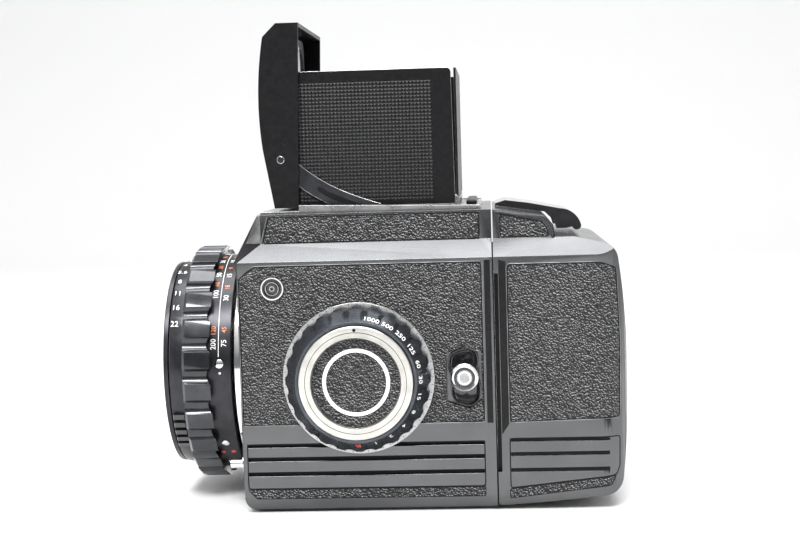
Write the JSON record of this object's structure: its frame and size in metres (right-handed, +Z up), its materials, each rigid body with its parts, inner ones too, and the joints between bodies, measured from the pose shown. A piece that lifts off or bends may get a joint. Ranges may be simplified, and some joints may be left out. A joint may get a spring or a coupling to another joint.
{
  "type": "medium format single lens reflex camera",
  "caption": "Square reflex camera with folding waist level hood, lobed focusing mount, side speed dial, winding crank and detachable roll film back.",
  "frame": {"origin": "mouth of the tripod socket in the base, under the middle of the body casting", "axes": "+Z up, the lens looks towards -X, the viewer's left side faces -Y"},
  "size_m": [0.1414, 0.1064, 0.1475],
  "materials": {
    "body_casting": "glossy dark grey anodised, polished edges",
    "leatherette": "black pebbled grain",
    "black_enamel": "gloss black",
    "black_anodised": "satin black",
    "chrome": "polished",
    "satin_chrome": "turned satin",
    "steel": "brushed",
    "brass": "turned",
    "flock": "matt black",
    "glass": "coated",
    "screen_glass": "ground",
    "mirror_silver": "polished",
    "curtain_cloth": "rubberised cloth",
    "backing_paper": "paper"
  },
  "bodies": {
    "camera_body": {"body_shell": "body_casting", "front_panel": "black_enamel", "side_leather_left": "leatherette", "side_leather_right": "leatherette", "upper_leather_left": "leatherette", "upper_leather_right": "leatherette", "side_grip_left": "body_casting", "side_grip_right": "body_casting", "base_plate": "black_enamel", "tripod_socket": "steel", "hood_base": "body_casting", "focusing_screen": "screen_glass", "mirror_box": "flock", "film_gate": "flock", "shutter_curtain": "curtain_cloth", "pc_socket": "chrome", "strap_stud_left": "chrome", "strap_stud_right": "chrome", "dial_plate": "steel", "dial_ring": "satin_chrome", "dial_cover": "leatherette", "release_collar": "chrome", "mount_ring": "chrome"},
    "focus": {"focus_ring": "black_enamel", "distance_scale": "black_enamel"},
    "barrel": {"lens_barrel": "black_anodised", "front_rim": "black_anodised", "front_element": "glass", "rear_element": "glass", "iris": "black_anodised"},
    "aperture": {"aperture_ring": "black_enamel"},
    "mirror": {"mirror_plate": "steel", "mirror_glass": "mirror_silver"},
    "upper_drum": {"shutter_drum_upper": "brass"},
    "lower_drum": {"shutter_drum_lower": "brass"},
    "speed_dial": {"speed_dial": "black_enamel"},
    "winding_knob": {"winding_knob": "black_anodised"},
    "crank_arm": {"crank_arm": "satin_chrome"},
    "crank_handle": {"crank_handle": "black_enamel"},
    "release": {"release_button": "chrome"},
    "lid": {"hood_lid": "black_enamel"},
    "magnifier": {"magnifier_frame": "black_anodised", "magnifier_lens": "glass"},
    "stay_left": {"stay_left": "black_anodised"},
    "stay_right": {"stay_right": "black_anodised"},
    "panel_left": {"hood_panel_left": "black_anodised"},
    "panel_right": {"hood_panel_right": "black_anodised"},
    "panel_rear": {"hood_panel_rear": "black_anodised"},
    "hood_release": {"hood_release": "black_enamel"},
    "film_insert": {"film_insert": "black_anodised", "pressure_plate": "black_anodised"},
    "takeup_spool": {"takeup_spool": "backing_paper"},
    "supply_spool": {"supply_spool": "backing_paper"},
    "back_cover": {"back_shell": "body_casting", "back_leather_left": "leatherette", "back_leather_right": "leatherette", "back_grip_left": "body_casting", "back_grip_right": "body_casting", "back_upper_leather": "leatherette"},
    "latch": {"latch_lever": "black_enamel"}
  },
  "joints": [
    {"name": "focus_turn", "type": "hinge", "parent": "camera_body", "child": "focus", "pos_m": [-0.05, 0, 0.0415], "axis": [1, 0, 0], "range_deg": [0, 270]},
    {"name": "barrel_travel", "type": "slide", "parent": "camera_body", "child": "barrel", "axis": [-1, 0, 0], "range_m": [0, 0.009]},
    {"name": "aperture_turn", "type": "hinge", "parent": "barrel", "child": "aperture", "pos_m": [-0.059, 0, 0.0415], "axis": [1, 0, 0], "range_deg": [0, 75]},
    {"name": "mirror_flip", "type": "hinge", "parent": "camera_body", "child": "mirror", "pos_m": [0.0305, 0, 0.0645], "axis": [0, 1, 0], "range_deg": [0, 45]},
    {"name": "upper_drum_spin", "type": "hinge", "parent": "camera_body", "child": "upper_drum", "pos_m": [0.0322, 0, 0.0725], "axis": [0, 1, 0], "continuous": true},
    {"name": "lower_drum_spin", "type": "hinge", "parent": "camera_body", "child": "lower_drum", "pos_m": [0.0322, 0, 0.0106], "axis": [0, 1, 0], "continuous": true},
    {"name": "speed_dial_turn", "type": "hinge", "parent": "camera_body", "child": "speed_dial", "pos_m": [-0.0025, -0.047, 0.04085], "axis": [0, -1, 0], "range_deg": [0, 180]},
    {"name": "winding_turn", "type": "hinge", "parent": "camera_body", "child": "winding_knob", "pos_m": [-0.0025, 0.045, 0.04085], "axis": [0, 1, 0], "continuous": true},
    {"name": "crank_unfold", "type": "hinge", "parent": "winding_knob", "child": "crank_arm", "pos_m": [-0.0145, 0.051, 0.04085], "axis": [0, 0, 1], "range_deg": [0, 180]},
    {"name": "crank_handle_spin", "type": "hinge", "parent": "crank_arm", "child": "crank_handle", "pos_m": [0.008, 0.048, 0.04085], "axis": [0, 1, 0], "continuous": true},
    {"name": "release_press", "type": "slide", "parent": "camera_body", "child": "release", "axis": [1, 0, 0], "range_m": [0, 0.0025], "stiffness_N_per_m": 200},
    {"name": "lid_rock", "type": "hinge", "parent": "camera_body", "child": "lid", "pos_m": [-0.0265, 0, 0.0932], "axis": [0, 1, 0], "range_deg": [0, 5]},
    {"name": "magnifier_flip", "type": "hinge", "parent": "lid", "child": "magnifier", "pos_m": [-0.024, 0, 0.112], "axis": [0, 1, 0], "range_deg": [0, 90]},
    {"name": "stay_left_turn", "type": "hinge", "parent": "lid", "child": "stay_left", "pos_m": [-0.0253, -0.029, 0.1063], "axis": [0, 1, 0], "range_deg": [-5, 0]},
    {"name": "stay_right_turn", "type": "hinge", "parent": "lid", "child": "stay_right", "pos_m": [-0.0253, 0.029, 0.1063], "axis": [0, 1, 0], "range_deg": [-5, 0]},
    {"name": "panel_left_fold", "type": "hinge", "parent": "camera_body", "child": "panel_left", "pos_m": [0.003, -0.0281, 0.092], "axis": [-1, 0, 0], "range_deg": [0, 90], "stiffness_Nm_per_rad": 0.02},
    {"name": "panel_right_fold", "type": "hinge", "parent": "camera_body", "child": "panel_right", "pos_m": [0.003, 0.0281, 0.0932], "axis": [1, 0, 0], "range_deg": [0, 90], "stiffness_Nm_per_rad": 0.02},
    {"name": "panel_rear_fold", "type": "hinge", "parent": "camera_body", "child": "panel_rear", "pos_m": [0.0281, 0, 0.0944], "axis": [0, -1, 0], "range_deg": [0, 90], "stiffness_Nm_per_rad": 0.02},
    {"name": "hood_release_push", "type": "slide", "parent": "camera_body", "child": "hood_release", "axis": [-1, 0, 0], "range_m": [0, 0.0012], "stiffness_N_per_m": 150},
    {"name": "back_detach", "type": "slide", "parent": "camera_body", "child": "film_insert", "axis": [1, 0, 0], "range_m": [0, 0.03]},
    {"name": "takeup_spool_spin", "type": "hinge", "parent": "film_insert", "child": "takeup_spool", "pos_m": [0.0585, 0, 0.021], "axis": [0, 1, 0], "continuous": true},
    {"name": "supply_spool_spin", "type": "hinge", "parent": "film_insert", "child": "supply_spool", "pos_m": [0.0585, 0, 0.062], "axis": [0, 1, 0], "continuous": true},
    {"name": "cover_swing", "type": "hinge", "parent": "film_insert", "child": "back_cover", "pos_m": [0.0399, 0, 0.0019], "axis": [0, 1, 0], "range_deg": [0, 60]},
    {"name": "latch_lift", "type": "hinge", "parent": "back_cover", "child": "latch", "pos_m": [0.0646, 0, 0.0834], "axis": [0, 1, 0], "range_deg": [0, 35]}
  ],
  "couplings": [
    {"joint": "barrel_travel", "follows": "focus_turn", "m_per_rad": 0.0019099},
    {"joint": "stay_left_turn", "follows": "lid_rock", "ratio": -1},
    {"joint": "stay_right_turn", "follows": "lid_rock", "ratio": -1},
    {"joint": "upper_drum_spin", "follows": "winding_turn", "ratio": 2},
    {"joint": "lower_drum_spin", "follows": "winding_turn", "ratio": 2},
    {"joint": "takeup_spool_spin", "follows": "winding_turn", "ratio": 0.5},
    {"joint": "supply_spool_spin", "follows": "winding_turn", "ratio": 0.5}
  ]
}
